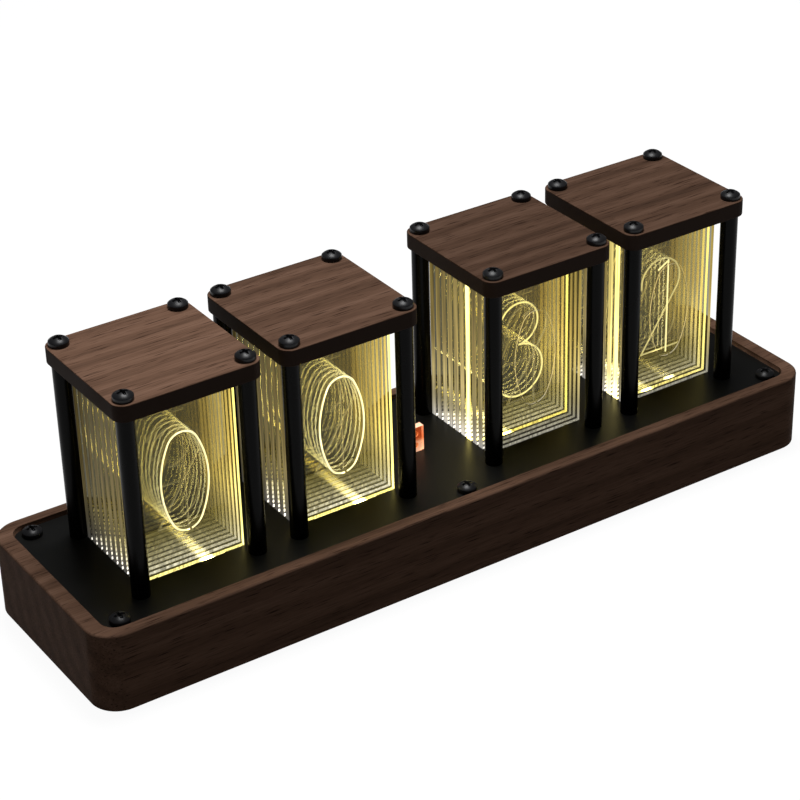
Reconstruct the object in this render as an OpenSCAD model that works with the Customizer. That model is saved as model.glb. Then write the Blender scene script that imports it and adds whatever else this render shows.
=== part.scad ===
// Edge-lit acrylic digit clock: a walnut base carries four towers of engraved sheets.
// Millimetres, +Z up, origin on the table under the middle of the base, front towards -Y.

/* [Base] */
// Length of the walnut base
base_l = 235.4; // [232:0.2:260]
// Depth of the walnut base, front to back
base_w = 65; // [64:0.5:80]
// Height of the walnut base without its feet
base_h = 23.4; // [21.6:0.2:32]
// Radius of the upright corners of the base
corner_r = 8; // [6:0.5:12]
// Width of the rim at the two ends
rim_end = 4.6; // [3.6:0.1:5.6]
// Width of the rim at the front and the back
rim_side = 3.6; // [3:0.1:4.2]
// Thickness of the walls round the cavity at the two ends
wall_end = 7; // [6:0.1:8]
// Thickness of the front wall and of the back wall between the pockets
wall_side = 7.5; // [6.5:0.1:8]
// Thickness of the back wall behind the buttons and the socket
wall_rear = 3.3; // [2.8:0.1:4]
// Radius of the screw columns in the cavity
boss_r = 5.5; // [4.5:0.1:6.5]

/* [Top plate] */
// Thickness of the black top plate
plate_t = 2; // [1.6:0.1:3]
// How far the plate lies below the rim
plate_sink = 1.4; // [0.8:0.1:2.2]
// Gap between the edge of the plate and the rim
plate_play = 0.2; // [0.1:0.05:0.4]
// Distance of the outer plate screws from the ends of the base
plate_screw_end = 10; // [9:0.5:12]
// Distance of the plate screws from the front and back of the base
plate_screw_side = 7.5; // [7:0.1:8.5]

/* [Bottom cover] */
// Thickness of the bottom cover
cover_t = 2; // [1.6:0.1:3]
// How far the cover laps onto the walls
cover_lip = 2.5; // [2:0.1:3]
// Distance of the cover screws from the front and back of the base
cover_screw_side = 9.5; // [9:0.1:10.5]
// Height of the rubber feet
foot_h = 1.5; // [1:0.1:3]
// Diameter of the rubber feet
foot_d = 10; // [8:0.5:14]
// Distance of the feet from the ends of the base
foot_end = 24; // [20:1:40]
// Distance of the feet from the front and back of the base
foot_side = 14; // [12:0.5:18]

/* [Screws] */
// Shank diameter of the screws
screw_d = 3; // [2.5:0.1:3.2]
// Diameter of the pan heads
head_d = 5.6; // [5:0.1:6.2]
// Height of the pan heads
head_h = 2.4; // [1.8:0.1:2.8]
// Radius of the dome of the pan heads
head_dome = 4; // [3.4:0.1:8]
// Length of the cross recess in the heads
cross_l = 3; // [2:0.1:3.6]
// Width of the cross recess in the heads
cross_w = 0.8; // [0.5:0.1:1]
// Depth of the cross recess in the heads
cross_d = 1.3; // [0.8:0.1:1.6]
// Radial room round a screw in a plain hole
hole_play = 0.1; // [0.05:0.05:0.3]
// Radial room round a screw in its thread
thread_play = 0.02; // [0.01:0.01:0.05]
// Depth of the plate screws in the wood
plate_bite = 8; // [6:0.5:9]
// Depth of the cover screws in the wood
cover_bite = 6; // [4:0.5:7]
// Depth of the post and cap screws in the posts
post_bite = 5; // [4:0.5:8]

/* [Towers] */
// Distance between the two towers of a pair
tower_pitch = 48; // [47:0.5:49.5]
// Distance between the two inner towers
middle_pitch = 64; // [62:0.5:66]
// Distance between the posts of a tower
post_pitch = 35; // [34.6:0.1:37]
// Diameter of the posts
post_d = 5; // [4.6:0.1:5.2]
// Height of the posts
post_h = 53.4; // [45:0.2:65]
// Thickness of the wooden caps
cap_t = 4.8; // [4:0.1:7]
// Distance from the cap screws to the edge of the cap
cap_margin = 3.6; // [3:0.1:4]
// Corner radius of the caps
cap_r = 3.6; // [2:0.1:5]

/* [Digit sheets] */
// Width of an acrylic sheet
sheet_w = 32; // [30:0.2:33]
// Thickness of an acrylic sheet
sheet_t = 2; // [1.8:0.1:2.2]
// Air gap between two sheets
sheet_gap = 0.9; // [0.75:0.05:1.1]
// Clear distance between the last sheet and the back posts
post_clear = 0.25; // [0.15:0.05:0.6]
// Width of the foot of a sheet in the plate
tab_w = 20; // [16:0.5:24]
// Depth of the grooves in the caps
groove_d = 1; // [0.6:0.1:2]
// Room round a sheet in its slot and groove
slot_play = 0.05; // [0.03:0.01:0.15]
// Width of the engraved digits
digit_w = 14; // [10:0.5:18]
// Height of the engraved digits
digit_h = 29.5; // [24:0.5:36]
// Height of the middle of the digits above the plate
digit_rise = 25.9; // [22:0.1:30]
// Width of the engraved line
stroke_w = 0.5; // [0.3:0.1:0.9]
// Depth of the engraved line
stroke_d = 0.3; // [0.2:0.05:0.6]

/* [Colon tab] */
// Width of the colon tab
colon_w = 5.4; // [4.5:0.1:8]
// Height of the colon tab above the plate
colon_h = 7.8; // [7.2:0.1:14]
// Width of the foot of the colon tab in the plate
colon_foot = 4; // [2.5:0.1:4.2]
// Diameter of the two engraved dots
dot_d = 1.8; // [1:0.1:2.4]
// Distance between the two dots
dot_pitch = 3.6; // [2.6:0.1:5]

/* [Circuit board] */
// Thickness of the circuit board
board_t = 1.6; // [1.2:0.1:2]
// Room between the board and the cavity walls
board_play = 1; // [0.6:0.1:1.6]
// Distance from the outer posts to the ends of the board
board_edge = 4; // [3.5:0.1:6]
// Side of a light-emitting diode
led_side = 5; // [3.5:0.1:5.2]
// Height of a light-emitting diode
led_h = 1.6; // [1:0.1:2]
// Gap between a diode and the sheet above it
led_gap = 0.2; // [0.1:0.05:0.5]
// Sideways distance of the diodes from the middle of the tower
led_offset = 5; // [3.5:0.1:7]
// Outer diameter of the board spacers
spacer_d = 6; // [5:0.1:8]
// Diameter of the coin cell
cell_d = 20; // [16:0.5:22]
// Thickness of the coin cell
cell_t = 3.2; // [2:0.1:4]
// Wall of the coin cell holder
holder_wall = 1; // [0.8:0.1:1.6]
// Width of the body of a chip
chip_w = 7.5; // [5:0.1:8]
// Height of a chip over the board
chip_h = 2.4; // [1.5:0.1:3]
// Distance between the pins of a chip
pin_pitch = 1.27; // [1:0.01:1.3]
// Diameter of the bulk capacitor
cap_can_d = 8; // [6:0.2:10]
// Height of the bulk capacitor
cap_can_h = 6.2; // [5:0.2:9]

/* [Buttons and power socket] */
// Diameter of the buttons
button_d = 5; // [4:0.1:6]
// Travel of the buttons
button_travel = 1; // [0.5:0.1:1.5]
// Distance between two buttons
button_pitch = 11; // [9:0.5:11.5]
// Radial room round a button in the wall
button_play = 0.3; // [0.2:0.05:0.5]
// How far the button faces lie below the back of the base
button_set = 0.2; // [0.1:0.1:0.6]
// Diameter of the plungers of the switches
stem_d = 3; // [2:0.1:3.4]
// Radial room round a plunger in its switch
stem_play = 0.05; // [0.03:0.01:0.1]
// Depth of a plunger in its switch at rest
stem_in = 2.2; // [1.6:0.1:2.6]
// Side of a switch housing
switch_side = 6; // [5.6:0.1:7]
// Depth of a switch housing
switch_deep = 4.4; // [4.2:0.1:5.5]
// Distance of the button axes below the board
button_drop = 3.6; // [3.2:0.1:3.8]
// Depth of the finger recess in the back of the base
recess_d = 1.5; // [0.8:0.1:1.8]
// Height of the finger recess
recess_h = 9; // [8:0.5:11]
// Width of the power socket
socket_w = 8.94; // [8:0.02:10]
// Height of the power socket
socket_h = 3.26; // [2.8:0.02:4]
// Length of the power socket
socket_l = 7.35; // [6.5:0.05:9]
// Wall of the power socket's shell
socket_wall = 0.3; // [0.2:0.05:0.5]
// Width of the power socket's tongue
tongue_w = 6.7; // [5.5:0.1:7]
// Thickness of the power socket's tongue
tongue_t = 0.7; // [0.5:0.05:1]
// How far the mouth of the socket lies below the back of the base
socket_set = 0.8; // [0.5:0.1:1.2]
// Room round the power socket in the wall
socket_play = 0.2; // [0.1:0.05:0.4]

/* [Hidden] */
$fn = 64;
ring_fn = 128;
eps = 0.01;
// How far a cut runs past the face that it opens
over = 1;
digits = 10;
stack_pitch = sheet_t + sheet_gap;
stack_depth = (digits - 1) * stack_pitch + sheet_t;
// The last sheet's corners stay clear of the back posts
post_reach = post_d / 2 + post_clear;
corner_dx = post_pitch / 2 - sheet_w / 2;
back_gap = sqrt(max(0, post_reach * post_reach - corner_dx * corner_dx));
stack_front = post_pitch / 2 - back_gap - stack_depth;

tower_x = [
    -middle_pitch / 2 - tower_pitch,
    -middle_pitch / 2,
    middle_pitch / 2,
    middle_pitch / 2 + tower_pitch
];
cap_side = post_pitch + 2 * cap_margin;

z_base = foot_h;
z_rim = z_base + base_h;
z_plate_top = z_rim - plate_sink;
z_plate = z_plate_top - plate_t;
z_cap = z_plate_top + post_h;
z_cap_top = z_cap + cap_t;
z_board_top = z_plate - led_gap - led_h;
z_board = z_board_top - board_t;
z_cover_top = z_base + cover_t;

cavity_l = base_l - 2 * wall_end;
cavity_w = base_w - 2 * wall_side;
cavity_r = 3;
recess_r = max(1, corner_r - rim_side);
board_l = 2 * (tower_x[3] + post_pitch / 2 + board_edge);
board_w = cavity_w - 2 * board_play;
// How far the switches and the socket's shelf stay inside their edges
edge_set = 0.4;
y_back = base_w / 2;
y_pocket = y_back - wall_rear;

screw_r = screw_d / 2;
hole_r = screw_r + hole_play;
thread_r = screw_r + thread_play;
plate_screw_x = base_l / 2 - plate_screw_end;
plate_screw_y = base_w / 2 - plate_screw_side;
cover_screw_y = base_w / 2 - cover_screw_side;
plate_screws_at = [for (x = [-1, 0, 1], y = [-1, 1]) [x * plate_screw_x, y * plate_screw_y]];
cover_screws_at = [for (x = [-1, 0, 1], y = [-1, 1]) [x * plate_screw_x, y * cover_screw_y]];
screw_end_room = 1;
// The cross recess is shallow in the flat heads of the cover screws
flat_cross_d = 0.6;
spacer_t = z_plate - z_board_top;

// Push buttons and switches
z_button = z_board - button_drop;
flange_t = 1.2;
flange_lip = 1;
flange_d = button_d + 2 * flange_lip;
flange_gap = 0.1;
y_flange = y_pocket - flange_gap - flange_t;
y_switch = board_w / 2 - edge_set;
bore_room = 0.3;
// The middle button lies behind the second tower, clear of its post screws
button_x = tower_x[1];
buttons_at = [button_x - button_pitch, button_x, button_x + button_pitch];
pocket_room = 4;
recess_room = 4;

// The power socket lies behind the third tower
socket_x = tower_x[2];
z_socket = z_board - socket_h / 2;
y_mouth = y_back - socket_set;
socket_back = 1;
tongue_set = 1;
shelf_room = 2;
shelf_w = socket_w + 2 * shelf_room;
shelf_y = y_pocket - edge_set;

// Coin cell, under the last tower
cell_x = tower_x[3];
holder_floor = 1.4;
holder_lip = 0.4;
holder_h = holder_floor + cell_t + holder_lip;
cell_play = 0.1;

// Chips and capacitor, off the middle line of the board
chip_y = 6;
controller_pins = 10;
clock_pins = 8;
can_x = tower_x[2] - post_pitch / 4;
can_y = board_w / 4;

// Half sizes of the digits, and the bowls of the 3, the 5 and the 8, which narrow above the middle
half_w = digit_w / 2;
half_h = digit_h / 2;
waist = digit_h / 18;
bowl_top_r = (half_h - waist) / 2;
bowl_low_r = (half_h + waist) / 2;

walnut = [0.36, 0.25, 0.2];
black = [0.1, 0.1, 0.1];
acrylic = [0.95, 0.9, 0.6, 0.35];
diode_white = [0.95, 0.95, 0.9];

// Flat outlines

module rounded_rect(l, w, r) {
    square([l - 2 * r, w], center = true);
    square([l, w - 2 * r], center = true);
    for (x = [-1, 1], y = [-1, 1])
        translate([x * (l / 2 - r), y * (w / 2 - r)])
            circle(r);
}

module stadium(l, h) {
    square([l - h, h], center = true);
    for (x = [-1, 1])
        translate([x * (l - h) / 2, 0])
            circle(d = h);
}

module line_stroke(p, q) {
    run = q - p;
    translate(p)
        rotate(atan2(run[1], run[0]))
            translate([-stroke_w / 2, -stroke_w / 2])
                square([norm(run) + stroke_w, stroke_w]);
}

module arc_stroke(c, r, from, to) {
    reach = 2 * r;
    fan_step = 30;
    steps = ceil((to - from) / fan_step);
    fan = [for (i = [0:steps]) from + (to - from) * i / steps];
    translate(c)
        intersection() {
            ring_stroke([0, 0], r);
            polygon(concat([[0, 0]], [for (a = fan) reach * [cos(a), sin(a)]]));
        }
}

module ring_stroke(c, r) {
    translate(c)
        difference() {
            circle(r + stroke_w / 2, $fn = ring_fn);
            circle(r - stroke_w / 2, $fn = ring_fn);
        }
}

// Digits, drawn in single lines about their middle

module zero_line() {
    end_r = half_w * 2 / 3;
    side_r = (half_w * half_w + half_h * half_h - 2 * half_h * end_r) / (2 * (half_w - end_r));
    turn = atan2(half_h - end_r, side_r - half_w);
    pen_at = 278;
    pen_gap = 4;
    for (s = [0, 180])
        rotate(s)
            arc_stroke([half_w - side_r, 0], side_r, -turn, turn);
    arc_stroke([0, half_h - end_r], end_r, turn, 180 - turn);
    arc_stroke([0, end_r - half_h], end_r, 180 + turn, pen_at - pen_gap);
    arc_stroke([0, end_r - half_h], end_r, pen_at + pen_gap, 360 - turn);
}

module one_line() {
    stem = half_w * 0.15;
    flag = [stem - half_w * 0.5, half_h * 0.86];
    line_stroke([stem, -half_h], [stem, half_h]);
    line_stroke([stem, half_h], flag);
}

module two_line() {
    mid = [0, half_h - half_w];
    toe = [-half_w * 0.93, -half_h];
    run = toe - mid;
    // A small kink where the bowl ends, short of its tangent to the toe
    kink = 6;
    leave = atan2(run[1], run[0]) + acos(half_w / norm(run)) + kink;
    hook = 190;
    arc_stroke(mid, half_w, leave, hook);
    line_stroke(mid + half_w * [cos(leave), sin(leave)], toe);
    line_stroke(toe, [half_w, -half_h]);
}

module three_line() {
    hook = 155;
    mid = half_w - bowl_low_r;
    arc_stroke([mid, half_h - bowl_top_r], bowl_top_r, -90, hook);
    arc_stroke([mid, bowl_low_r - half_h], bowl_low_r, -hook, 90);
}

module four_line() {
    stem = half_w * 0.4;
    bar = -half_h / 3;
    line_stroke([stem, half_h], [stem, -half_h]);
    line_stroke([stem, half_h], [-half_w, bar]);
    line_stroke([-half_w, bar], [half_w, bar]);
}

module five_line() {
    mid = [half_w - bowl_low_r, bowl_low_r - half_h];
    bowl_from = -150;
    bowl_to = 140;
    flag = half_w * 0.87;
    spine = -half_w * 0.73;
    line_stroke([flag, half_h], [spine, half_h]);
    line_stroke([spine, half_h], mid + bowl_low_r * [cos(bowl_to), sin(bowl_to)]);
    arc_stroke(mid, bowl_low_r, bowl_from, bowl_to);
}

module six_line() {
    tip = [half_w * 0.6, half_h];
    low = half_w - half_h;
    dx = tip[0] + half_w;
    dy = tip[1] - low;
    sweep_r = (dx * dx + dy * dy) / (2 * dx);
    mid = [sweep_r - half_w, low];
    ring_stroke([0, low], half_w);
    arc_stroke(mid, sweep_r, atan2(dy, tip[0] - mid[0]), 180);
}

module seven_line() {
    line_stroke([-half_w, half_h], [half_w, half_h]);
    line_stroke([half_w, half_h], [-half_w / 3, -half_h]);
}

module eight_line() {
    ring_stroke([0, half_h - bowl_top_r], bowl_top_r);
    ring_stroke([0, bowl_low_r - half_h], bowl_low_r);
}

module digit_line(d) {
    if (d == 0) zero_line();
    if (d == 1) one_line();
    if (d == 2) two_line();
    if (d == 3) three_line();
    if (d == 4) four_line();
    if (d == 5) five_line();
    if (d == 6) six_line();
    if (d == 7) seven_line();
    if (d == 8) eight_line();
    if (d == 9) rotate(180) six_line();
}

// Shared shapes

function sheet_y(d) = stack_front + d * stack_pitch;

module at_posts(x) {
    for (dx = [-1, 1], dy = [-1, 1])
        translate([x + dx * post_pitch / 2, dy * post_pitch / 2, 0])
            children();
}

module pan_screw(length) {
    difference() {
        union() {
            intersection() {
                cylinder(h = head_h, d = head_d);
                translate([0, 0, head_h - head_dome])
                    sphere(head_dome);
            }
            translate([0, 0, -length])
                cylinder(h = length + eps, r = screw_r);
        }
        for (turn = [0, 90])
            rotate(turn)
                translate([-cross_l / 2, -cross_w / 2, head_h - cross_d])
                    cube([cross_l, cross_w, cross_d + over]);
    }
}

module flat_screw(length) {
    sink_h = (head_d - screw_d) / 2;
    difference() {
        union() {
            cylinder(h = sink_h, r1 = head_d / 2, r2 = screw_r);
            translate([0, 0, sink_h - eps])
                cylinder(h = length - sink_h + eps, r = screw_r);
        }
        for (turn = [0, 90])
            rotate(turn)
                translate([-cross_l / 2, -cross_w / 2, -over])
                    cube([cross_l, cross_w, flat_cross_d + over]);
    }
}

// Base

// The cavity leaves the screw columns standing and has room for the board and round its spacers
module cavity_outline() {
    difference() {
        union() {
            rounded_rect(cavity_l, cavity_w, cavity_r);
            square([board_l + 2 * board_play, board_w], center = true);
            pocket_outline(button_x, 2 * button_pitch + flange_d + 2 * pocket_room);
            pocket_outline(socket_x, shelf_w + 2 * pocket_room);
        }
        for (p = plate_screws_at)
            translate(p)
                circle(boss_r);
    }
    for (x = tower_x)
        at_posts(x)
            circle(max(spacer_d, head_d) / 2 + board_play);
}

module pocket_outline(x, l) {
    translate([x - l / 2, 0])
        square([l, y_pocket]);
}

module back_recess(x, z, l, h) {
    translate([x, y_back + eps, z])
        rotate([90, 0, 0])
            linear_extrude(recess_d + eps)
                stadium(l, h);
}

module base_frame() {
    color(walnut)
        difference() {
            translate([0, 0, z_base])
                linear_extrude(base_h)
                    rounded_rect(base_l, base_w, corner_r);
            translate([0, 0, z_plate])
                linear_extrude(base_h)
                    rounded_rect(base_l - 2 * rim_end, base_w - 2 * rim_side, recess_r);
            translate([0, 0, z_cover_top - eps])
                linear_extrude(z_plate - z_cover_top + 2 * eps)
                    cavity_outline();
            translate([0, 0, z_base - over])
                linear_extrude(cover_t + over)
                    rounded_rect(cavity_l + 2 * cover_lip, cavity_w + 2 * cover_lip, cavity_r);
            for (p = plate_screws_at)
                translate([p[0], p[1], z_plate - plate_bite])
                    cylinder(h = plate_bite + over, r = thread_r);
            for (p = cover_screws_at)
                translate([p[0], p[1], z_base])
                    cylinder(h = cover_t + cover_bite, r = thread_r);
            for (x = buttons_at)
                translate([x, y_pocket - over, z_button])
                    rotate([-90, 0, 0])
                        cylinder(h = wall_rear + 2 * over, r = button_d / 2 + button_play);
            back_recess(button_x, z_button, 2 * button_pitch + button_d + recess_room, recess_h);
            translate([socket_x, y_back, z_socket])
                rotate([90, 0, 0])
                    linear_extrude(wall_rear + over)
                        stadium(socket_w + 2 * socket_play, socket_h + 2 * socket_play);
            back_recess(socket_x, z_socket, socket_w + recess_room, socket_h + recess_room);
        }
}

module top_plate() {
    color(black)
        difference() {
            translate([0, 0, z_plate])
                linear_extrude(plate_t)
                    rounded_rect(
                        base_l - 2 * (rim_end + plate_play),
                        base_w - 2 * (rim_side + plate_play),
                        recess_r - plate_play
                    );
            translate([0, 0, z_plate - over]) {
                for (p = plate_screws_at)
                    translate(p)
                        cylinder(h = plate_t + 2 * over, r = hole_r);
                for (x = tower_x)
                    at_posts(x)
                        cylinder(h = plate_t + 2 * over, r = hole_r);
                for (x = tower_x, d = [0:digits - 1])
                    translate([x - tab_w / 2 - slot_play, sheet_y(d) - slot_play, 0])
                        cube([tab_w + 2 * slot_play, sheet_t + 2 * slot_play, plate_t + 2 * over]);
                translate([-colon_foot / 2 - slot_play, -slot_play, 0])
                    cube([colon_foot + 2 * slot_play, sheet_t + 2 * slot_play, plate_t + 2 * over]);
            }
        }
}

module top_plate_screws() {
    color(black)
        for (p = plate_screws_at)
            translate([p[0], p[1], z_plate_top])
                pan_screw(plate_t + plate_bite - screw_end_room);
}

module bottom_cover() {
    color(black)
        difference() {
            translate([0, 0, z_base])
                linear_extrude(cover_t)
                    rounded_rect(
                        cavity_l + 2 * (cover_lip - plate_play),
                        cavity_w + 2 * (cover_lip - plate_play),
                        cavity_r - plate_play
                    );
            for (p = cover_screws_at)
                translate([p[0], p[1], z_base]) {
                    translate([0, 0, -over])
                        cylinder(h = cover_t + 2 * over, r = hole_r);
                    cylinder(h = (head_d - screw_d) / 2, r1 = head_d / 2 + hole_play, r2 = hole_r);
                }
        }
}

module bottom_cover_screws() {
    color(black)
        for (p = cover_screws_at)
            translate([p[0], p[1], z_base])
                flat_screw(cover_t + cover_bite - screw_end_room);
}

module rubber_feet() {
    color([0.15, 0.15, 0.15])
        for (x = [-1, 1], y = [-1, 1])
            translate([x * (base_l / 2 - foot_end), y * (base_w / 2 - foot_side), 0])
                cylinder(h = foot_h, d = foot_d);
}

// Towers

module tower_cap(x) {
    color(walnut)
        difference() {
            translate([x, 0, z_cap])
                linear_extrude(cap_t)
                    rounded_rect(cap_side, cap_side, cap_r);
            translate([0, 0, z_cap - over])
                at_posts(x)
                    cylinder(h = cap_t + 2 * over, r = hole_r);
            for (d = [0:digits - 1])
                translate([x - sheet_w / 2 - slot_play, sheet_y(d) - slot_play, z_cap - over])
                    cube([sheet_w + 2 * slot_play, sheet_t + 2 * slot_play, groove_d + over]);
        }
}

module tower_posts(x) {
    color(black)
        at_posts(x)
            difference() {
                translate([0, 0, z_plate_top])
                    cylinder(h = post_h, d = post_d);
                translate([0, 0, z_plate_top - over])
                    cylinder(h = post_bite + screw_end_room + over, r = thread_r);
                translate([0, 0, z_cap - post_bite - screw_end_room])
                    cylinder(h = post_bite + screw_end_room + over, r = thread_r);
            }
}

module cap_screws() {
    color(black)
        for (x = tower_x)
            translate([0, 0, z_cap_top])
                at_posts(x)
                    pan_screw(cap_t + post_bite);
}

module post_screws() {
    color(black)
        for (x = tower_x)
            translate([0, 0, z_board])
                at_posts(x)
                    mirror([0, 0, 1])
                        pan_screw(board_t + spacer_t + plate_t + post_bite);
}

module digit_sheet(d) {
    sheet_h = post_h + groove_d - 2 * slot_play;
    difference() {
        union() {
            translate([-sheet_w / 2, 0, 0])
                cube([sheet_w, sheet_t, sheet_h]);
            translate([-tab_w / 2, 0, -plate_t])
                cube([tab_w, sheet_t, plate_t + eps]);
        }
        translate([0, stroke_d, digit_rise])
            rotate([90, 0, 0])
                linear_extrude(stroke_d + over)
                    digit_line(d);
    }
}

module digit_sheets(d) {
    color(acrylic)
        for (x = tower_x)
            translate([x, sheet_y(d), z_plate_top])
                digit_sheet(d);
}

module colon_tab() {
    color([1, 0.55, 0.35, 0.6])
        translate([0, 0, z_plate_top])
            difference() {
                union() {
                    translate([-colon_w / 2, 0, 0])
                        cube([colon_w, sheet_t, colon_h]);
                    translate([-colon_foot / 2, 0, -plate_t])
                        cube([colon_foot, sheet_t, plate_t + eps]);
                }
                for (s = [-1, 1])
                    translate([0, stroke_d, colon_h / 2 + s * dot_pitch / 2])
                        rotate([90, 0, 0])
                            cylinder(h = stroke_d + over, d = dot_d);
            }
}

// Electronics

module circuit_board() {
    color([0.08, 0.25, 0.16])
        translate([0, 0, z_board])
            difference() {
                linear_extrude(board_t)
                    difference() {
                        union() {
                            rounded_rect(board_l, board_w, cavity_r);
                            translate([socket_x - shelf_w / 2, 0])
                                square([shelf_w, shelf_y]);
                        }
                        for (p = plate_screws_at)
                            translate(p)
                                circle(boss_r + board_play);
                    }
                translate([0, 0, -over])
                    for (x = tower_x)
                        at_posts(x)
                            cylinder(h = board_t + 2 * over, r = hole_r);
            }
}

module board_spacers() {
    color([0.9, 0.9, 0.88])
        for (x = tower_x)
            at_posts(x)
                translate([0, 0, z_board_top])
                    difference() {
                        cylinder(h = spacer_t, d = spacer_d);
                        translate([0, 0, -over])
                            cylinder(h = spacer_t + 2 * over, r = hole_r);
                    }
}

module led(x, y) {
    translate([x - led_side / 2, y - led_side / 2, z_board_top])
        cube([led_side, led_side, led_h]);
}

module digit_leds() {
    color(diode_white)
        for (x = tower_x, d = [0:digits - 1])
            led(x + (d % 2 == 0 ? led_offset : -led_offset), sheet_y(d) + sheet_t / 2);
}

module colon_led() {
    color(diode_white)
        led(0, sheet_t / 2);
}

// A chip hangs under the board, with a row of pins on each long side
module chip(x, y, pins) {
    pin_w = 0.4;
    pin_out = 1;
    pin_t = 0.5;
    stand_off = 0.2;
    chip_l = pins * pin_pitch;
    translate([x, y, z_board - chip_h]) {
        translate([-chip_l / 2, -chip_w / 2, 0])
            cube([chip_l, chip_w, chip_h - stand_off]);
        for (i = [0:pins - 1], s = [-1, 1])
            translate([(i + 0.5) * pin_pitch - chip_l / 2, s * (chip_w + pin_out) / 2, chip_h - pin_t])
                translate([-pin_w / 2, -pin_out / 2, 0])
                    cube([pin_w, pin_out, pin_t]);
    }
}

module microcontroller() {
    color(black)
        chip(0, chip_y, controller_pins);
}

module clock_chip() {
    color(black)
        chip(tower_x[2], -chip_y, clock_pins);
}

module cell_holder() {
    side = cell_d + 2 * (cell_play + holder_wall);
    color([0.2, 0.2, 0.2])
        difference() {
            translate([cell_x - side / 2, -side / 2, z_board - holder_h])
                cube([side, side, holder_h]);
            translate([cell_x, 0, z_board - holder_h - over])
                cylinder(h = holder_h - holder_floor + over, d = cell_d + 2 * cell_play);
        }
}

module coin_cell() {
    color([0.75, 0.75, 0.75])
        translate([cell_x, 0, z_board - holder_floor - cell_t])
            cylinder(h = cell_t, d = cell_d);
}

module bulk_capacitor() {
    color([0.7, 0.7, 0.72])
        translate([can_x, can_y, z_board - cap_can_h])
            cylinder(h = cap_can_h, d = cap_can_d);
}

module socket_shell() {
    color([0.78, 0.78, 0.8])
        translate([socket_x, y_mouth, z_socket])
            rotate([90, 0, 0])
                difference() {
                    linear_extrude(socket_l)
                        stadium(socket_w, socket_h);
                    translate([0, 0, -over])
                        linear_extrude(socket_l - socket_back + over)
                            stadium(socket_w - 2 * socket_wall, socket_h - 2 * socket_wall);
                }
}

module socket_tongue() {
    tongue_l = socket_l - socket_back - tongue_set;
    color(black)
        translate([socket_x - tongue_w / 2, y_mouth - socket_l + socket_back, z_socket - tongue_t / 2])
            cube([tongue_w, tongue_l, tongue_t]);
}

module button_switches() {
    bore_deep = stem_in + button_travel + bore_room;
    color(black)
        for (x = buttons_at)
            difference() {
                translate([x - switch_side / 2, y_switch - switch_deep, z_board - switch_side])
                    cube([switch_side, switch_deep, switch_side]);
                translate([x, y_switch - bore_deep, z_button])
                    rotate([-90, 0, 0])
                        cylinder(h = bore_deep + over, r = stem_d / 2 + stem_play);
            }
}

module push_button(x) {
    color([0.12, 0.12, 0.12])
        translate([x, 0, z_button])
            rotate([-90, 0, 0]) {
                translate([0, 0, y_switch - stem_in])
                    cylinder(h = y_flange - y_switch + stem_in + eps, d = stem_d);
                translate([0, 0, y_flange])
                    cylinder(h = flange_t, d = flange_d);
                translate([0, 0, y_flange])
                    cylinder(h = y_back - button_set - y_flange, d = button_d);
            }
}

base_frame();
top_plate();
top_plate_screws();
bottom_cover();
bottom_cover_screws();
rubber_feet();
tower_cap(tower_x[0]);  // hour_tens_cap
tower_cap(tower_x[1]);  // hour_units_cap
tower_cap(tower_x[2]);  // minute_tens_cap
tower_cap(tower_x[3]);  // minute_units_cap
tower_posts(tower_x[0]);  // hour_tens_posts
tower_posts(tower_x[1]);  // hour_units_posts
tower_posts(tower_x[2]);  // minute_tens_posts
tower_posts(tower_x[3]);  // minute_units_posts
cap_screws();
post_screws();
digit_sheets(0);  // digit_0_sheets
digit_sheets(1);  // digit_1_sheets
digit_sheets(2);  // digit_2_sheets
digit_sheets(3);  // digit_3_sheets
digit_sheets(4);  // digit_4_sheets
digit_sheets(5);  // digit_5_sheets
digit_sheets(6);  // digit_6_sheets
digit_sheets(7);  // digit_7_sheets
digit_sheets(8);  // digit_8_sheets
digit_sheets(9);  // digit_9_sheets
colon_tab();
circuit_board();
board_spacers();
digit_leds();
colon_led();
microcontroller();
clock_chip();
coin_cell();
cell_holder();
bulk_capacitor();
socket_shell();
socket_tongue();
button_switches();
push_button(buttons_at[0]);  // set_button
push_button(buttons_at[1]);  // up_button
push_button(buttons_at[2]);  // down_button
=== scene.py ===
import math

import bmesh
import bpy
from mathutils import Matrix, Vector


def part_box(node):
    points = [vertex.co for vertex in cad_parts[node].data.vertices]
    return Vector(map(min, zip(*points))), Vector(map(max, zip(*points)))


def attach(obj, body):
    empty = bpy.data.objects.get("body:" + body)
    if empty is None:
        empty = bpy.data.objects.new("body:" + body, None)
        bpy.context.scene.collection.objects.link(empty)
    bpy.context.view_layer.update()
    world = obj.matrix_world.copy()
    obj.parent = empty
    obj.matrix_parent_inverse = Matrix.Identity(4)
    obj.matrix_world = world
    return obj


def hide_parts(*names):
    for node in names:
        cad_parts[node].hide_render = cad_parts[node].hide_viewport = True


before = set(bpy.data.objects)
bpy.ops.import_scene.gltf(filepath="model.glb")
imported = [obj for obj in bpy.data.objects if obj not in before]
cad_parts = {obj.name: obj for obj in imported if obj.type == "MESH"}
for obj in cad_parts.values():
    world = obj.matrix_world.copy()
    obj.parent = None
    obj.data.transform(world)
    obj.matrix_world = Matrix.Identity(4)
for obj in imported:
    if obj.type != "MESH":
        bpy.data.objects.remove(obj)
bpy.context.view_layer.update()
scene = bpy.context.scene
mm = 0.001
squareOn = 0.9  # a face looks along an axis when that part of its normal is over this
print("frame loaded:", len(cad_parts), "nodes")


def toLinear(hexColour):  # by the sRGB curve
    parts = [int(hexColour[i:i + 2], 16) / 255 for i in (1, 3, 5)]
    return tuple(c / 12.92 if c <= 0.04045 else ((c + 0.055) / 1.055) ** 2.4 for c in parts) + (1.0,)


def grey(level):
    return (level, level, level, 1)


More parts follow.
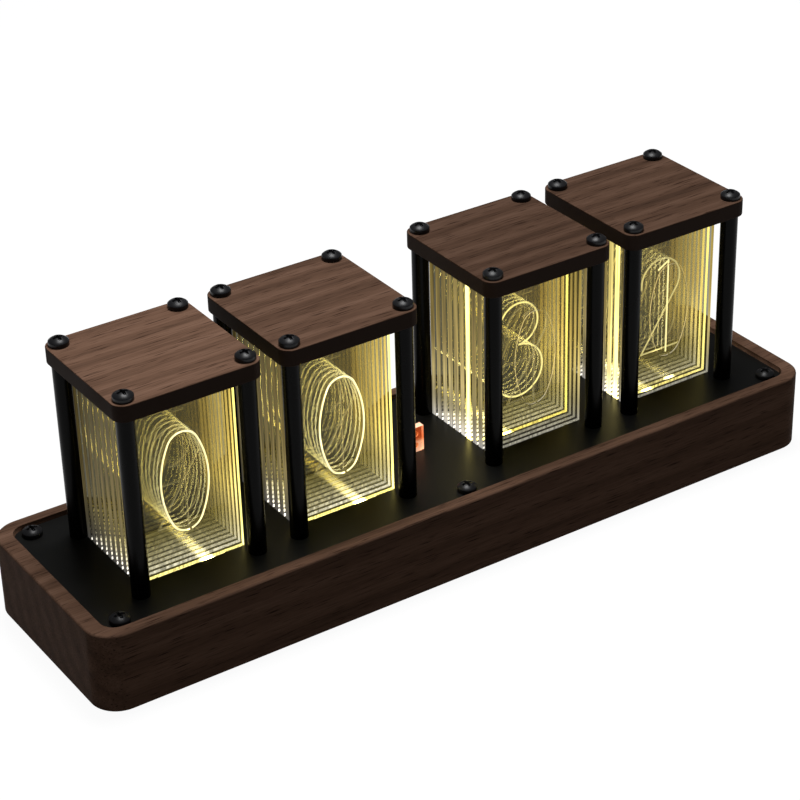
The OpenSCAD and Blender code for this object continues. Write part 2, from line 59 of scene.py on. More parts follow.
# Sockets go by name or number. A Mix node takes numbers at 2 and 3 and colours at 6 and 7
def addNode(tree, kind, values=None, links=None, stops=None, **settings):
    node = tree.nodes.new(kind)
    for name, value in settings.items():
        setattr(node, name, value)
    for socket, value in (values or {}).items():
        node.inputs[socket].default_value = value
    for socket, source in (links or {}).items():
        tree.links.new(source, node.inputs[socket])
    for i, (place, hexColour) in enumerate(stops or []):  # colour stops of a ramp
        elements = node.color_ramp.elements
        stop = elements[i] if i < len(elements) else elements.new(place)
        stop.position = place
        stop.color = toLinear(hexColour)
    return node


def startMaterial(name, constants):
    material = bpy.data.materials.new(name)
    material.use_nodes = True
    tree = material.node_tree
    shader = tree.nodes["Principled BSDF"]
    for socket, value in constants.items():
        shader.inputs[socket].default_value = value
    return material, tree, shader


# Walnut, sanded and oiled: a warm brown that hardly shines, with growth rings round a far pith, long
# streaks, fibres and short open pores along X. Real fibres and pores are 0.1 mm wide or less: they are
# drawn coarser here, so that they show
walnutLook = {
    "stops": [(0.31, "#543f33"), (0.5, "#6a5041"), (0.69, "#7c6050")],
    "poreColour": "#2f1f18",
    "pith": (0, 64, -52),  # mm, the heart of the log
    "ring": 7.0,  # mm between growth rings
    "ringStretch": 0.12,  # how fast the rings wander along X, against across
    "ringWaver": 5.0,
    "ringDetail": 2.0,
    "streak": {"length": 100, "width": 3.6, "detail": 4.0},  # mm
    "fibre": {"length": 18, "width": 0.55, "detail": 3.0},
    "pore": {"length": 7, "width": 0.35, "detail": 1.0},
    "waver": 0.3,  # of streaks, fibres and pores
    "shares": {"streak": 0.75, "fibre": 0.4},  # of each layer over the one before
    "poreRange": (0.58, 0.76),  # of the noise, from bare wood to a full pore
    "poreDepth": 0.03,  # mm
    "bump": 0.5,
    "roughness": (0.45, 0.65),
    "gloss": 0.01,
    "ior": 1.5,
}


def walnut(name, shift, tone):
    look = walnutLook
    material, tree, shader = startMaterial(name, {
        "IOR": look["ior"], "Specular IOR Level": look["gloss"],
    })
    place = addNode(tree, "ShaderNodeTexCoord").outputs["Object"]
    moved = addNode(tree, "ShaderNodeMapping", {"Location": [s * mm for s in shift]},
                    {"Vector": place}).outputs[0]
    layers = {}
    for layer in ("streak", "fibre", "pore"):
        along = 1 / (look[layer]["length"] * mm)
        across = 1 / (look[layer]["width"] * mm)
        scaled = addNode(tree, "ShaderNodeMapping", {"Scale": (along, across, across)}, {"Vector": moved})
        noise = addNode(tree, "ShaderNodeTexNoise",
                        {"Scale": 1.0, "Detail": look[layer]["detail"], "Distortion": look["waver"]},
                        {"Vector": scaled.outputs[0]})
        layers[layer] = noise.outputs["Fac"]
    centred = addNode(tree, "ShaderNodeMapping",
                      {"Location": [p * mm for p in look["pith"]], "Scale": (look["ringStretch"], 1, 1)},
                      {"Vector": moved})
    ringScale = math.pi / 10 / (look["ring"] * mm)  # rings of this texture are pi / 10 apart at scale 1
    rings = addNode(tree, "ShaderNodeTexWave",
                    {"Scale": ringScale, "Distortion": look["ringWaver"], "Detail": look["ringDetail"]},
                    {"Vector": centred.outputs[0]}, wave_type="RINGS", rings_direction="X")
    grain = rings.outputs["Fac"]
    for layer, share in look["shares"].items():
        grain = addNode(tree, "ShaderNodeMix", {0: share}, {2: grain, 3: layers[layer]}).outputs[0]
    brown = addNode(tree, "ShaderNodeValToRGB", links={0: grain}, stops=look["stops"])
    bare, full = look["poreRange"]
    pores = addNode(tree, "ShaderNodeMapRange", {"From Min": bare, "From Max": full}, {0: layers["pore"]})
    colour = addNode(tree, "ShaderNodeMix", {7: toLinear(look["poreColour"])},
                     {0: pores.outputs[0], 6: brown.outputs[0]}, data_type="RGBA")
    # The tone darkens the brown: the block's own lightness, and on the caps their painted shade
    toned = addNode(tree, "ShaderNodeMix", {0: 1.0, 7: grey(tone)}, {6: colour.outputs[2]},
                    data_type="RGBA", blend_type="MULTIPLY")
    smoothest, roughest = look["roughness"]
    rough = addNode(tree, "ShaderNodeMapRange", {"To Min": smoothest, "To Max": roughest},
                    {0: layers["fibre"]})
    height = addNode(tree, "ShaderNodeMath", links={0: layers["fibre"], 1: pores.outputs[0]},
                     operation="SUBTRACT")
    bump = addNode(tree, "ShaderNodeBump", {"Strength": look["bump"], "Distance": look["poreDepth"] * mm},
                   {"Height": height.outputs[0]})
    tree.links.new(toned.outputs[2], shader.inputs["Base Color"])
    tree.links.new(rough.outputs[0], shader.inputs["Roughness"])
    tree.links.new(bump.outputs[0], shader.inputs["Normal"])
    return material


# A moulded, turned or coated finish: one colour in faint patches, with a fine grain that breaks up its
# shine. The grain is in mm, and coarser than the real one, which is too fine to show
plainLook = {
    "patch": 30,  # times the grain
    "patchDetail": 4.0,
    "grainDetail": 3.0,
    "roughSpread": 0.07,  # either side of the given roughness
    "bump": 0.3,
}


def plainFinish(name, colour, roughness, grain=0.4, depth=0.01, mottle=0.12, **constants):
    look = plainLook
    sockets = {socket.replace("_", " "): value for socket, value in constants.items()}
    material, tree, shader = startMaterial(name, sockets)
    place = addNode(tree, "ShaderNodeTexCoord").outputs["Object"]
    fine = addNode(tree, "ShaderNodeTexNoise",
                   {"Scale": 1 / (grain * mm), "Detail": look["grainDetail"]}, {"Vector": place})
    wide = addNode(tree, "ShaderNodeTexNoise",
                   {"Scale": 1 / (look["patch"] * grain * mm), "Detail": look["patchDetail"]},
                   {"Vector": place})
    level = addNode(tree, "ShaderNodeMapRange", {"To Min": 1 - mottle, "To Max": 1 + mottle},
                    {0: wide.outputs["Fac"]})
    tint = addNode(tree, "ShaderNodeMix", {0: 1.0, 6: toLinear(colour)}, {7: level.outputs[0]},
                   data_type="RGBA", blend_type="MULTIPLY")
    spread = look["roughSpread"]
    rough = addNode(tree, "ShaderNodeMapRange",
                    {"To Min": roughness - spread, "To Max": roughness + spread},
                    {0: wide.outputs["Fac"]})
    bump = addNode(tree, "ShaderNodeBump", {"Strength": look["bump"], "Distance": depth * mm},
                   {"Height": fine.outputs["Fac"]})
    tree.links.new(tint.outputs[2], shader.inputs["Base Color"])
    tree.links.new(rough.outputs[0], shader.inputs["Roughness"])
    tree.links.new(bump.outputs[0], shader.inputs["Normal"])
    return material


# Cast acrylic: glass-clear faces with a faint warm tint, a little uneven as cast sheet is. A stack's
# front face has painted shade, a light smoke film, and its back face a dark one, so that the lit lines
# stand out from the dark
acrylicIor = 1.49
acrylicLook = {
    "clear": [(0.35, "#fbfaf2"), (0.65, "#f7f5e8")],
    # painted shade: the smoke tints of a stack's outermost faces, darker at the back
    "front": [(0.35, "#565649"), (0.65, "#515144")],
    "back": [(0.35, "#191811"), (0.65, "#16150f")],
    "filmGloss": 0.1,  # of bare acrylic's reflection
    "unevenness": 25,  # mm
}


def castAcrylic(name, tints, gloss=1.0):
    material, tree, shader = startMaterial(name, {
        "Roughness": 0.0, "IOR": acrylicIor, "Transmission Weight": 1.0, "Specular Tint": grey(gloss),
    })
    place = addNode(tree, "ShaderNodeTexCoord").outputs["Object"]
    cloud = addNode(tree, "ShaderNodeTexNoise", {"Scale": 1 / (acrylicLook["unevenness"] * mm)},
                    {"Vector": place})
    tint = addNode(tree, "ShaderNodeValToRGB", links={0: cloud.outputs["Fac"]}, stops=acrylicLook[tints])
    tree.links.new(tint.outputs[0], shader.inputs["Base Color"])
    return material


# What each sheet face knows of the light: its glow outwards, inwards and low down, how far that is its
# own diode's, and the diode's spot on it and where that is
lightLayers = ("outer", "inner", "low", "own", "spot", "ledX")

# Laser-cut acrylic edge: bright upright striations that scatter the light led through the sheet. Real
# ones are about 0.1 mm apart: they are drawn coarser, so that they show
edgeLook = {
    "body": "#2a2821",
    "colours": [
        (0.0, "#b0aca6"), (0.1, "#bcb08e"), (0.3, "#ffe69a"), (0.5, "#dcc072"), (1.0, "#a48e4a"),
    ],  # of the glow, from foot to top
    "own": "#ffec8c",  # glow from the sheet's own diode
    "streak": (0.6, 30),  # mm across and along
    "streakDetail": 2.0,
    "streakRange": (0.3, 0.7),  # of the noise
    "streakGlow": (0.4, 1.6),  # in the dark and the bright streaks
    "spot": 2.5,  # mm, half the bright patch over a diode
    "low": 0.16,  # of the height, where light leaks out at the foot
    "bump": 0.4,
    "depth": 0.02,  # mm
    "roughness": 0.45,
    "gloss": 0.1,
}


def laserCutEdge(zLow, zHigh):
    look = edgeLook
    material, tree, shader = startMaterial("laserCutAcrylicEdge", {
        "Base Color": toLinear(look["body"]), "Roughness": look["roughness"],
        "IOR": acrylicIor, "Specular IOR Level": look["gloss"],
    })
    place = addNode(tree, "ShaderNodeTexCoord").outputs["Object"]
    axes = addNode(tree, "ShaderNodeSeparateXYZ", links={0: place})
    levels = {}
    for name in lightLayers:
        levels[name] = addNode(tree, "ShaderNodeAttribute", attribute_name=name).outputs["Fac"]
    rise = addNode(tree, "ShaderNodeMapRange", {"From Min": zLow, "From Max": zHigh},
                   {0: axes.outputs["Z"]})
    warm = addNode(tree, "ShaderNodeValToRGB", links={0: rise.outputs[0]}, stops=look["colours"])
    coloured = addNode(tree, "ShaderNodeMix", {7: toLinear(look["own"])},
                       {0: levels["own"], 6: warm.outputs[0]}, data_type="RGBA")
    across, along = (1 / (size * mm) for size in look["streak"])
    scaled = addNode(tree, "ShaderNodeMapping", {"Scale": (across, across, along)}, {"Vector": place})
    noise = addNode(tree, "ShaderNodeTexNoise", {"Scale": 1.0, "Detail": look["streakDetail"]},
                    {"Vector": scaled.outputs[0]})
    darkNoise, brightNoise = look["streakRange"]
    darkGlow, brightGlow = look["streakGlow"]
    streak = addNode(tree, "ShaderNodeMapRange",
                     {"From Min": darkNoise, "From Max": brightNoise, "To Min": darkGlow,
                      "To Max": brightGlow}, {0: noise.outputs["Fac"]})
    within = addNode(tree, "ShaderNodeNewGeometry").outputs["Backfacing"]
    lit = addNode(tree, "ShaderNodeMix", links={0: within, 2: levels["outer"], 3: levels["inner"]})
    leak = addNode(tree, "ShaderNodeMapRange", {"From Min": look["low"], "From Max": 0.0},
                   {0: rise.outputs[0]}, interpolation_type="SMOOTHSTEP")
    leaked = addNode(tree, "ShaderNodeMath", operation="MULTIPLY_ADD",
                     links={0: leak.outputs[0], 1: levels["low"], 2: lit.outputs[0]})
    striped = addNode(tree, "ShaderNodeMath", operation="MULTIPLY",
                      links={0: leaked.outputs[0], 1: streak.outputs[0]})
    aside = addNode(tree, "ShaderNodeMath", operation="SUBTRACT",
                    links={0: axes.outputs["X"], 1: levels["ledX"]})
    away = addNode(tree, "ShaderNodeMath", operation="ABSOLUTE", links={0: aside.outputs[0]})
    patch = addNode(tree, "ShaderNodeMapRange", {"From Min": look["spot"] * mm, "From Max": 0.0},
                    {0: away.outputs[0]}, interpolation_type="SMOOTHERSTEP")
    foot = addNode(tree, "ShaderNodeMath", operation="MULTIPLY",
                   links={0: patch.outputs[0], 1: levels["spot"]})
    total = addNode(tree, "ShaderNodeMath", operation="ADD",
                    links={0: striped.outputs[0], 1: foot.outputs[0]})
    bump = addNode(tree, "ShaderNodeBump", {"Strength": look["bump"], "Distance": look["depth"] * mm},
                   {"Height": noise.outputs["Fac"]})
    tree.links.new(coloured.outputs[2], shader.inputs["Emission Color"])
    tree.links.new(total.outputs[0], shader.inputs["Emission Strength"])
    tree.links.new(bump.outputs[0], shader.inputs["Normal"])
    return material


# Laser-engraved line: a frosted groove that throws the light of its sheet out in front and back into the
# stack. Its grit is drawn coarser than the real 0.05 mm, so that it shows
lineLook = {
    "body": "#5e5746",
    "glow": "#fef3bc",
    "grit": 0.25,  # mm
    "gritDetail": 2.0,
    "frost": (0.7, 1.3),  # glow of the dull and the bright grit
    "roughness": 0.2,
    "gloss": 0.1,
}


def engravedLine():
    look = lineLook
    material, tree, shader = startMaterial("engravedAcrylicLine", {
        "Base Color": toLinear(look["body"]), "Roughness": look["roughness"], "IOR": acrylicIor,
        "Transmission Weight": 1.0, "Specular IOR Level": look["gloss"],
        "Emission Color": toLinear(look["glow"]),
    })
    outer = addNode(tree, "ShaderNodeAttribute", attribute_name="outer").outputs["Fac"]
    inner = addNode(tree, "ShaderNodeAttribute", attribute_name="inner").outputs["Fac"]
    within = addNode(tree, "ShaderNodeNewGeometry").outputs["Backfacing"]
    level = addNode(tree, "ShaderNodeMix", links={0: within, 2: outer, 3: inner})
    place = addNode(tree, "ShaderNodeTexCoord").outputs["Object"]
    grit = addNode(tree, "ShaderNodeTexNoise",
                   {"Scale": 1 / (look["grit"] * mm), "Detail": look["gritDetail"]}, {"Vector": place})
    dull, bright = look["frost"]
    frost = addNode(tree, "ShaderNodeMapRange", {"To Min": dull, "To Max": bright},
                    {0: grit.outputs["Fac"]})
    strength = addNode(tree, "ShaderNodeMath", operation="MULTIPLY",
                       links={0: level.outputs[0], 1: frost.outputs[0]})
    tree.links.new(strength.outputs[0], shader.inputs["Emission Strength"])
    return material


# Pieces start as copies of their CAD nodes, with doubled points merged and flat triangles joined
copyLook = {"merge": 0.002, "flat": 0.2}  # mm, degrees


def mergedCopy(nodeName):
    bm = bmesh.new()
    bm.from_mesh(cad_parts[nodeName].data)
    bmesh.ops.remove_doubles(bm, verts=bm.verts, dist=copyLook["merge"] * mm)
    bmesh.ops.dissolve_limit(bm, angle_limit=math.radians(copyLook["flat"]), verts=bm.verts,
                             edges=bm.edges)
    return bm


def soften(bm, width, segments=2, pick=None, minAngle=35):
    sharp = math.radians(minAngle)
    edges = [e for e in bm.edges if len(e.link_faces) == 2 and e.calc_face_angle(0) > sharp]
    if pick:
        edges = [e for e in edges if all(pick(v.co) for v in e.verts)]
    bmesh.ops.bevel(bm, geom=edges, offset=width * mm, offset_type="OFFSET", affect="EDGES",
                    segments=segments, profile=0.5, material=-1, clamp_overlap=False)


def finishPiece(name, bm, materials, replaced, body="clock", smooth=30):
    mesh = bpy.data.meshes.new(name)
    bm.to_mesh(mesh)
    bm.free()
    if smooth:
        mesh.shade_smooth()
        mesh.set_sharp_from_angle(angle=math.radians(smooth))
    for material in materials:
        mesh.materials.append(material)
    piece = bpy.data.objects.new(name, mesh)
    scene.collection.objects.link(piece)
    if smooth:  # wide faces stay flat beside their eased edges
        piece.modifiers.new("flatFaces", "WEIGHTED_NORMAL").keep_sharp = True
    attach(piece, body)
    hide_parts(*replaced)
    return piece


def pieceName(nodeName):
    words = nodeName.split("_")
    return words[0] + "".join(word.capitalize() for word in words[1:])


# Camera at the photograph's place: a long lens, turned and tipped as below
cameraLook = {
    "place": (-321.75, -488.72, 375.58),  # mm
    "azimuth": -32.954,  # degrees
    "elevation": 29.8,
    "roll": -1.604,
    "lens": 108.74,  # mm
    "sensor": 36,
    "clipStart": 10,
}
cameraData = bpy.data.cameras.new("camera")
cameraData.lens = cameraLook["lens"]
cameraData.sensor_width = cameraLook["sensor"]
cameraData.clip_start = cameraLook["clipStart"] * mm
camera = bpy.data.objects.new("camera", cameraData)
scene.collection.objects.link(camera)
turn = Matrix.Rotation(math.radians(cameraLook["azimuth"]), 4, "Z")
tip = Matrix.Rotation(math.radians(90 - cameraLook["elevation"]), 4, "X")
roll = Matrix.Rotation(math.radians(cameraLook["roll"]), 4, "Z")
camera.matrix_world = Matrix.Translation(Vector(cameraLook["place"]) * mm) @ turn @ tip @ roll
scene.camera = camera
print("camera set")

# Where the towers stand, and which digits are lit and how brightly, left to right
towers = ["hour_tens", "hour_units", "minute_tens", "minute_units"]
litDigits = [{0: 0.85}, {0: 1.0}, {3: 1.0}, {1: 0.8, 2: 0.45}]
towerX = [sum(corner.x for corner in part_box(tower + "_cap")) / 2 for tower in towers]
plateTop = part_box("top_plate")[1].z


def nearestTower(x):
    return min(range(len(towers)), key=lambda i: abs(x - towerX[i]))


# Light in a sheet: its own diode's, and what spills over from the lit sheet to those behind and ahead
glowLook = {
    "outer": {"lit": 2.4, "behind": 0.65, "ahead": 0.37, "farSide": 0.42},  # leaving the cut edges
    "inner": {"lit": 7.0, "behind": 7.0, "ahead": 3.2, "farSide": 1.0},  # seen in them through the painted shade film
    "fade": 0.92,  # from one sheet to the next; farSide is on the side away from the diode
    "ownBottom": 0.8,  # of a lit sheet's glow, at its bottom
    "low": 1.4,  # at the foot of the side by the lit diode
    "spot": 120.0,  # over a lit diode
    "streak": 12.0,  # the diode's light on the feet of the sheets behind its own
    "line": {"outer": 0.95, "inner": 34.0, "unlit": 0.16, "unlitFront": 0.12},
    "film": 4.2,  # lines behind the painted shade film are this much brighter
}


def edgeGlow(side, tower, digit):
    level = litDigits[tower].get(digit, 0) * glowLook[side]["lit"]
    for lit, share in litDigits[tower].items():
        spill = glowLook[side]["behind" if digit > lit else "ahead"]
        level = max(level, share * spill * glowLook["fade"] ** abs(digit - lit))
    return level


def footGlow(tower, digit):
    level = litDigits[tower].get(digit, 0) * glowLook["spot"]
    for lit, share in litDigits[tower].items():
        if digit > lit:
            level = max(level, share * glowLook["streak"] * glowLook["fade"] ** (digit - lit))
    return level


def diodeSide(digit):  # right of the middle under even digits, left under odd ones
    return 1 - 2 * (digit % 2)


# Digit sheets: clear faces, glowing cut edges, a foot in the plate's slot, and the engraved line
sheetLook = {
    "grooveDepth": 0.3,  # mm
    "lift": 0.04,  # of the shoulders, which stand off the plate by a hair
    "ledAside": 5,
    "bottom": 0.1,  # faces up to this far over the plate are a sheet's bottom
    "near": 0.02,  # what counts as lying in a plane
    "cut": 0.001,
}
near = sheetLook["near"] * mm


def liftShoulders(bm):
    shoulders = [v for v in bm.verts if abs(v.co.z - plateTop) < near]
    bmesh.ops.translate(bm, verts=shoulders, vec=(0, 0, sheetLook["lift"] * mm))


def sheetRegion(face, frontY, backY):
    y = face.calc_center_median().y
    if abs(face.normal.y) > squareOn and (y - frontY < near or backY - y < near):
        return "face"
    return "groove" if y - frontY < sheetLook["grooveDepth"] * mm + near else "edge"


clearFace, cutEdge, groove, frontShadeFilm, backShadeFilm = range(5)  # the order of the materials
sheetMaterials = [
    castAcrylic("clearCastAcrylic", "clear"),
    laserCutEdge(plateTop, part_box("digit_0_sheets")[1].z),
    engravedLine(),
    castAcrylic("frontPaintedShadeFilm", "front", acrylicLook["filmGloss"]),
    castAcrylic("backPaintedShadeFilm", "back", acrylicLook["filmGloss"]),
]
for digit in range(10):
    nodeName = f"digit_{digit}_sheets"
    bm = mergedCopy(nodeName)
    frontY, backY = (corner.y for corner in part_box(nodeName))
    bmesh.ops.bisect_plane(bm, geom=bm.verts[:] + bm.edges[:] + bm.faces[:], dist=sheetLook["cut"] * mm,
                           plane_co=(0, 0, plateTop), plane_no=(0, 0, 1))
    liftShoulders(bm)
    layers = {name: bm.faces.layers.float.new(name) for name in lightLayers}
    for face in bm.faces:
        middle = face.calc_center_median()
        region = sheetRegion(face, frontY, backY)
        bed = region == "groove" and face.normal.y < -squareOn
        low = middle.z < plateTop + sheetLook["bottom"] * mm
        clear = clearFace
        # A stack's outermost faces take the painted shade films
        if digit == 0 and face.normal.y < 0:
            clear = frontShadeFilm
        elif digit == 9 and face.normal.y > 0:
            clear = backShadeFilm
        tower = nearestTower(middle.x)
        lit = litDigits[tower].get(digit, 0)
        litSide = diodeSide(max(litDigits[tower], key=litDigits[tower].get))
        ledSide = diodeSide(digit) if lit else litSide
        light = {"ledX": towerX[tower] + sheetLook["ledAside"] * ledSide * mm}
        if region == "groove":
            face.material_index = clear if bed and not lit else groove
            unlit = glowLook["line"]["unlit" if digit else "unlitFront"]
            light["outer"] = max(lit * glowLook["line"]["outer"], unlit)
            light["outer"] *= glowLook["film"] if digit else 1
            light["inner"] = light["outer"]
            if lit and bed:  # a dim line's ghosts fade faster than the line
                light["inner"] = lit ** 2 * glowLook["line"]["inner"]
        else:
            face.material_index = cutEdge if low or region == "edge" else clear
            for side in ("outer", "inner"):
                light[side] = edgeGlow(side, tower, digit)
                light[side] *= glowLook[side]["farSide"] if face.normal.x * litSide < -squareOn else 1
                light[side] *= glowLook["ownBottom"] if low and lit else 1
            light["low"] = glowLook["low"] * light["outer"] if face.normal.x * litSide > squareOn else 0
            light["own"] = lit
            light["spot"] = footGlow(tower, digit) if low else 0
        for name, level in light.items():
            face[layers[name]] = level
    finishPiece(pieceName(nodeName), bm, sheetMaterials, [nodeName], smooth=0)
print("sheets built")

# Colon tab: a chip of the same acrylic over an orange diode, with engraved dots. The diode's light is
# painted on as a glow, pale low down and deep orange above, with cream edges
colonLook = {
    # painted light: the orange body colour is the diode's light, not the acrylic's own
    "body": "#d98a5c",
    "roughness": 0.2,
    "gloss": 0.2,
    "face": {
        "strength": 0.5,
        "clarity": 0.8,
        "stops": [(0.0, "#f4d2b2"), (0.38, "#e6b48e"), (0.48, "#9c3c14"), (1.0, "#9a3c16")],  # foot to top
    },
    "edge": {
        "strength": 0.8,
        "clarity": 0.4,
        "stops": [(0.0, "#ffdcbc"), (0.5, "#e8a880"), (1.0, "#ffead2")],
    },
    "groove": {
        "strength": 0.5,
        "clarity": 0.4,
        "stops": [(0.0, "#d07a44"), (0.45, "#c8642c"), (1.0, "#c8622a")],
    },
}


def glowingColon(name, strength, clarity, stops):
    look = colonLook
    material, tree, shader = startMaterial(name, {
        "Base Color": toLinear(look["body"]), "Roughness": look["roughness"], "IOR": acrylicIor,
        "Specular IOR Level": look["gloss"], "Transmission Weight": clarity, "Emission Strength": strength,
    })
    place = addNode(tree, "ShaderNodeTexCoord").outputs["Object"]
    height = addNode(tree, "ShaderNodeSeparateXYZ", links={0: place}).outputs["Z"]
    rise = addNode(tree, "ShaderNodeMapRange",
                   {"From Min": plateTop, "From Max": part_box("colon_tab")[1].z}, {0: height})
    warm = addNode(tree, "ShaderNodeValToRGB", links={0: rise.outputs[0]}, stops=stops)
    tree.links.new(warm.outputs[0], shader.inputs["Emission Color"])
    return material


bm = mergedCopy("colon_tab")
frontY, backY = (corner.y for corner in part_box("colon_tab"))
liftShoulders(bm)
colonNames = {"face": "colonAcrylicFace", "edge": "colonAcrylicEdge", "groove": "colonEngravedDot"}
for face in bm.faces:
    face.material_index = list(colonNames).index(sheetRegion(face, frontY, backY))
colonMaterials = [glowingColon(name, **colonLook[region]) for region, name in colonNames.items()]
finishPiece("colonTab", bm, colonMaterials, ["colon_tab"], smooth=0)
print("colon built")

# Base of solid walnut with its rim and foot edges eased
baseLook = {
    "rimEnd": 4.5,  # mm, just under the rim's width, so that its inner edge stays sharp
    "rimSide": 3.5,
    "rimEase": 0.7,
    "footEase": 0.4,
    "easeSteps": 3,
    "near": 0.01,
    "tone": 0.9,  # how light the block is
}
baseLow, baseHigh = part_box("base_frame")


def onOutside(co, height):
    atEnd = abs(co.x) > baseHigh.x - baseLook["rimEnd"] * mm
    atSide = abs(co.y) > baseHigh.y - baseLook["rimSide"] * mm
    return (atEnd or atSide) and abs(co.z - height) < baseLook["near"] * mm


bm = mergedCopy("base_frame")
soften(bm, baseLook["rimEase"], baseLook["easeSteps"], lambda co: onOutside(co, baseHigh.z))
soften(bm, baseLook["footEase"], baseLook["easeSteps"], lambda co: onOutside(co, baseLow.z))
block = walnut("walnutSolid", (0, 0, 0), baseLook["tone"])
finishPiece("baseFrame", bm, [block], ["base_frame"])

# Tower caps: walnut on top and below, with the dead matt, brown-black edge that a laser cut leaves
capLook = {
    "ease": 0.25,  # mm
    "core": 16.5,  # half the middle part, which keeps its sharp edges
    "top": 0.3,  # of the normal's rise, over which a face counts as the top
    "boardStart": (0, 4, 0),  # mm, where in the log the first cap lies
    "boardStep": (31, 17, 9),
    "tones": (1.0, 0.77, 0.54, 0.58),  # painted shade: the caps get darker towards the right, as the light falls off across the row
}
charredEdge = plainFinish("laserCharredWalnutEdge", "#33261f", 0.75, grain=0.5, depth=0.04, mottle=0.3,
                          Specular_IOR_Level=0.1)
for i, tower in enumerate(towers):
    bm = mergedCopy(tower + "_cap")
    soften(bm, capLook["ease"],
           pick=lambda co: max(abs(co.x - towerX[i]), abs(co.y)) > capLook["core"] * mm)
    for face in bm.faces:
        face.material_index = 0 if face.normal.z > capLook["top"] or face.normal.z < -squareOn else 1
    shift = [start + step * i for start, step in zip(capLook["boardStart"], capLook["boardStep"])]
    # Each cap's brown is darkened by its painted shade
    board = walnut(f"walnutCap{i + 1}", shift, capLook["tones"][i])
    finishPiece(pieceName(tower + "_cap"), bm, [board, charredEdge], [tower + "_cap"])
print("wood built")

# Black acrylic, extruded and rubbed satin: a dark plate with only a soft sheen of the towers
blackPlate = plainFinish("satinBlackAcrylic", "#121211", 0.38, grain=0.3, depth=0.004,
                         IOR=acrylicIor, Specular_IOR_Level=0.22)
# Turned and anodised: near black, with a thin line of light down each post
postBlack = plainFinish("blackAnodisedAluminium", "#040404", 0.26, grain=0.2, depth=0.003,
                        Specular_IOR_Level=0.06)
# Pressed heads with a thick black coat: a soft light on the dome, so that the cross recess reads
screwBlack = plainFinish("blackCoatedSteel", "#1d1d1f", 0.36, grain=0.3, depth=0.006,
                         Specular_IOR_Level=0.23)
coverBlack = plainFinish("mouldedBlackAbs", "#151515", 0.5, grain=0.5, depth=0.02)  # matt, from its mould
buttonBlack = plainFinish("polishedButtonAbs", "#1c1c1c", 0.35)  # smooth tops that catch the light
footRubber = plainFinish("blackRubber", "#171717", 0.8, grain=0.6, depth=0.03)  # dull and a little rough
# Drawn and plated: a bright ring round the socket
socketSteel = plainFinish("nickelPlatedSteel", "#c2c3c6", 0.25, grain=0.3, depth=0.004, Metallic=1.0)
tongueBlack = plainFinish("glassFilledNylon", "#161616", 0.45)  # moulded, a dull black

# Pieces that keep their CAD form: finish, slot, mm by which sharp edges are eased, and nodes
easedPieces = [
    (blackPlate, "black_acrylic", 0.1, ["top_plate"]),
    (screwBlack, "black_steel", 0.12, ["cap_screws", "top_plate_screws", "post_screws"]),
    (screwBlack, "black_steel", 0.1, ["bottom_cover_screws"]),
    (coverBlack, "black_abs", 0.3, ["bottom_cover"]),
    (footRubber, "rubber", 0.4, ["rubber_feet"]),
    (socketSteel, "socket_steel", 0.08, ["socket_shell"]),
    (tongueBlack, "chip_resin", 0.08, ["socket_tongue"]),
    (buttonBlack, "button_abs", 0.3, ["set_button", "up_button", "down_button"]),
    (postBlack, "black_anodised", 0.15, [tower + "_posts" for tower in towers]),
]
for material, slot, ease, nodeNames in easedPieces:
    for nodeName in nodeNames:
        bm = mergedCopy(nodeName)
        soften(bm, ease, minAngle=45)
        body = nodeName if nodeName.endswith("_button") else "clock"
        finishPiece(pieceName(nodeName), bm, [material], [nodeName], body)
print("metal, plastic and rubber built")

# Electronics inside the closed base keep their CAD shape, in the plain colours of such parts
finishes = {
    "circuit_board": plainFinish("greenBoardLaminate", "#12402a", 0.4, grain=0.8, depth=0.02),
    "board_spacers": plainFinish("naturalNylon", "#e6e3d8", 0.5),
    "digit_leds": plainFinish("diodePackage", "#f0eee6", 0.4),
    "colon_led": plainFinish("colonDiodePackage", "#f0eee6", 0.4),
    "microcontroller": plainFinish("chipResin", "#191919", 0.55),
    "clock_chip": plainFinish("clockChipResin", "#191919", 0.55),
    "coin_cell": plainFinish("cellSteel", "#c4c4c4", 0.25, Metallic=1.0),
    "cell_holder": plainFinish("holderAbs", "#1b1b1b", 0.5),
    "bulk_capacitor": plainFinish("capacitorAluminium", "#b9babd", 0.3, Metallic=1.0),
    "button_switches": plainFinish("switchAbs", "#1a1a1a", 0.5),
}
for nodeName, material in finishes.items():
    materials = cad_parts[nodeName].data.materials
    materials.clear()
    materials.append(material)
print("electronics finished")

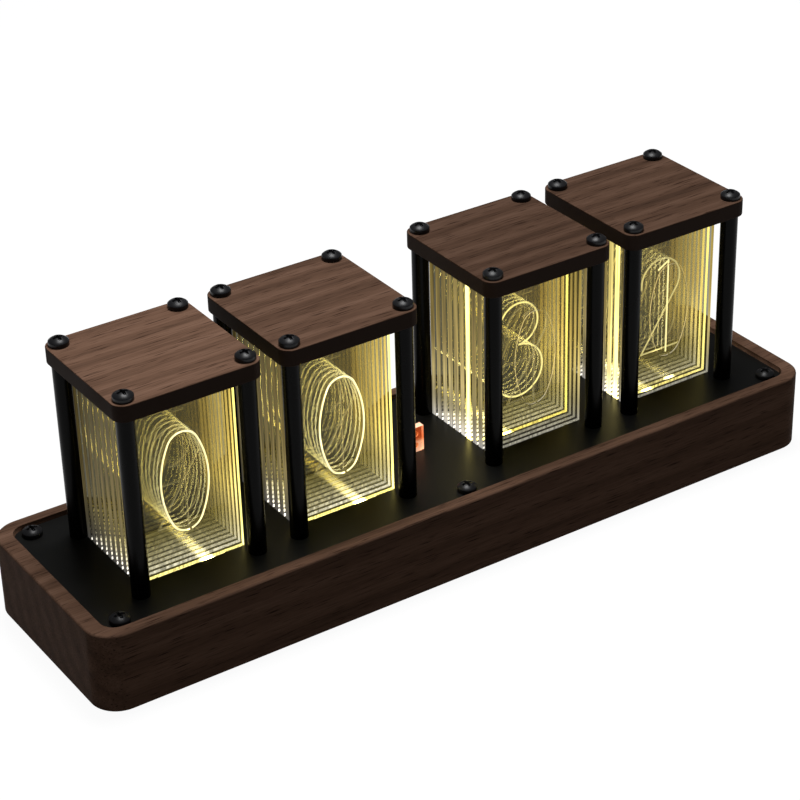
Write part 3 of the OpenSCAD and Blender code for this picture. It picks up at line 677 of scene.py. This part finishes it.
# Floor: white to the camera and in glass and metal, dark to the light that bounces up, with a faint
# shadow
floorLook = {"size": 6.0, "white": 0.95, "shadow": 0.1, "bounce": 0.2}  # m, and shares of white
floorMesh = bpy.data.meshes.new("floor")
bm = bmesh.new()
bmesh.ops.create_grid(bm, x_segments=1, y_segments=1, size=floorLook["size"])
bm.to_mesh(floorMesh)
bm.free()
floor = bpy.data.objects.new("floor", floorMesh)
scene.collection.objects.link(floor)
floorMaterial = bpy.data.materials.new("paleFloor")
floorMaterial.use_nodes = True
tree = floorMaterial.node_tree
tree.nodes.clear()
path = addNode(tree, "ShaderNodeLightPath")
seen = addNode(tree, "ShaderNodeMath", operation="ADD",
               links={0: path.outputs["Is Camera Ray"], 1: path.outputs["Is Glossy Ray"]})
seen = addNode(tree, "ShaderNodeMath", operation="ADD", use_clamp=True,
               links={0: seen.outputs[0], 1: path.outputs["Is Transmission Ray"]})
white = addNode(tree, "ShaderNodeEmission", {"Color": grey(1), "Strength": floorLook["white"]})
pale = addNode(tree, "ShaderNodeBsdfDiffuse", {"Color": grey(floorLook["shadow"])})
both = addNode(tree, "ShaderNodeAddShader", links={0: white.outputs[0], 1: pale.outputs[0]})
dark = addNode(tree, "ShaderNodeBsdfDiffuse", {"Color": grey(floorLook["bounce"])})
mix = addNode(tree, "ShaderNodeMixShader",
              links={0: seen.outputs[0], 1: dark.outputs[0], 2: both.outputs[0]})
addNode(tree, "ShaderNodeOutputMaterial", links={0: mix.outputs[0]})
floorMesh.materials.append(floorMaterial)

# One soft light overhead, and a dim even world
studioLook = {
    "world": 0.065,
    "place": (0.02, 0.05, 0.65),  # m
    "aim": (0, 0, 0.05),
    "size": 0.25,
    "power": 3.9,  # W
}
world = bpy.data.worlds.new("studio")
scene.world = world
world.use_nodes = True
background = world.node_tree.nodes["Background"]
background.inputs["Color"].default_value = grey(1)
background.inputs["Strength"].default_value = studioLook["world"]
lampData = bpy.data.lights.new("softbox", "AREA")
lampData.size = studioLook["size"]
lampData.energy = studioLook["power"]
lamp = bpy.data.objects.new("softbox", lampData)
scene.collection.objects.link(lamp)
lamp.location = studioLook["place"]
lamp.rotation_euler = (Vector(studioLook["aim"]) - lamp.location).to_track_quat("-Z", "Y").to_euler()

# Paths long enough for the ghost digits, which are reflections between ten clear sheets
scene.cycles.max_bounces = 64
scene.cycles.min_light_bounces = 64
scene.cycles.transmission_bounces = 64
scene.cycles.glossy_bounces = 16
scene.cycles.transparent_max_bounces = 64
scene.view_settings.view_transform = "Standard"
print("stage and light set")
